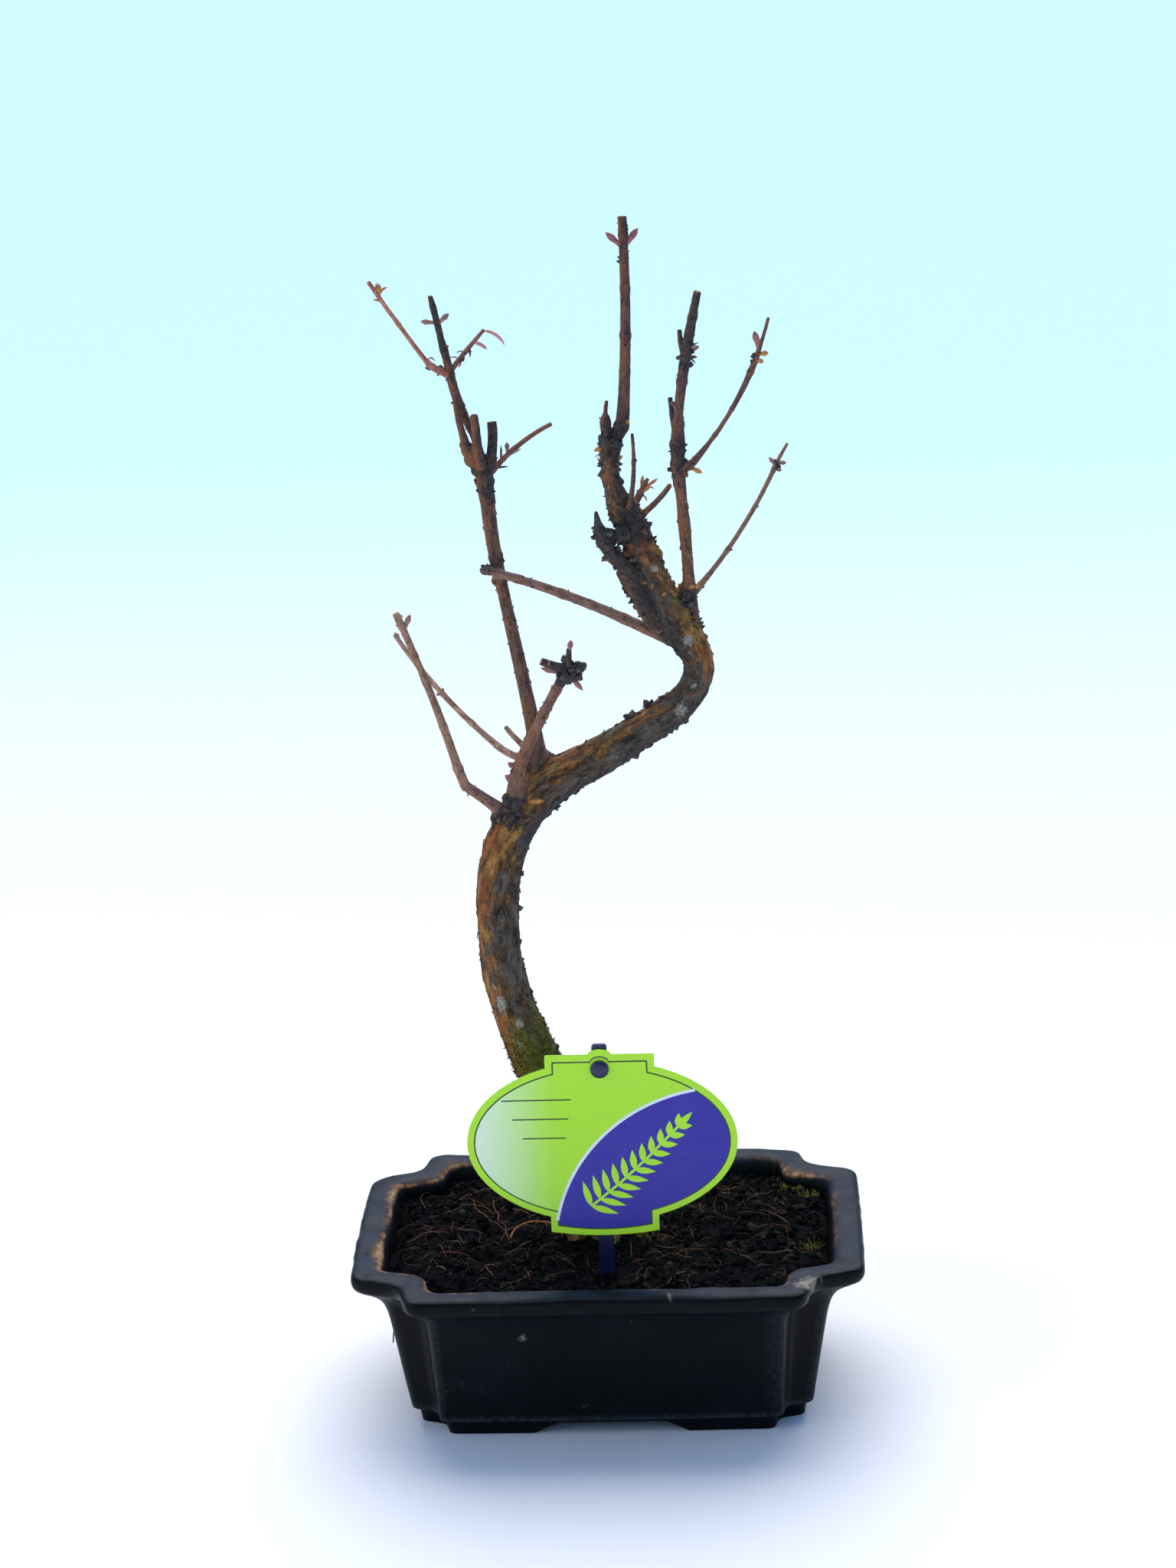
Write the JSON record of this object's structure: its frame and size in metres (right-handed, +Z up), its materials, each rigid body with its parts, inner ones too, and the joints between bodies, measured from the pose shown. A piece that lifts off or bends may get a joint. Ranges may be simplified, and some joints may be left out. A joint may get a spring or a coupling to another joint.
{
  "type": "dawn redwood bonsai",
  "caption": "Bare winter dawn redwood bonsai with a winding trunk and cut-back boughs, standing in an oblong plastic pot with indented corners, with a push-in plant label.",
  "frame": {"origin": "middle of the pot's underside, on the surface that the pot stands on", "axes": "+Z up, +X to the right along the pot's length, -Y to the front, where the label faces"},
  "size_m": [0.158, 0.116, 0.3684],
  "materials": {
    "pot_plastic": "moulded black plastic, dusty, with a mineral crust along the rim",
    "potting_soil": "dark crumbly compost with root fibres",
    "label_plastic": "printed plastic sheet",
    "peg_plastic": "dark blue moulded plastic",
    "bark": "flaky orange-brown and grey bark",
    "bare_twigs": "thin red-brown winter twigs and buds"
  },
  "bodies": {
    "root": {"pot": "pot_plastic", "soil": "potting_soil", "label_plate": "label_plastic", "label_peg": "peg_plastic", "trunk": "bark", "left_bough": "bark", "crossing_bough": "bark", "spur_bough": "bark", "right_bough": "bark", "low_bough": "bark", "low_twig": "bark", "low_inner_twig": "bark", "short_stub": "bark", "dark_stub": "bark", "right_low_twig": "bark", "left_crown": "bare_twigs", "centre_crown": "bare_twigs", "right_crown": "bare_twigs", "spur_cluster": "bare_twigs"}
  },
  "joints": []
}
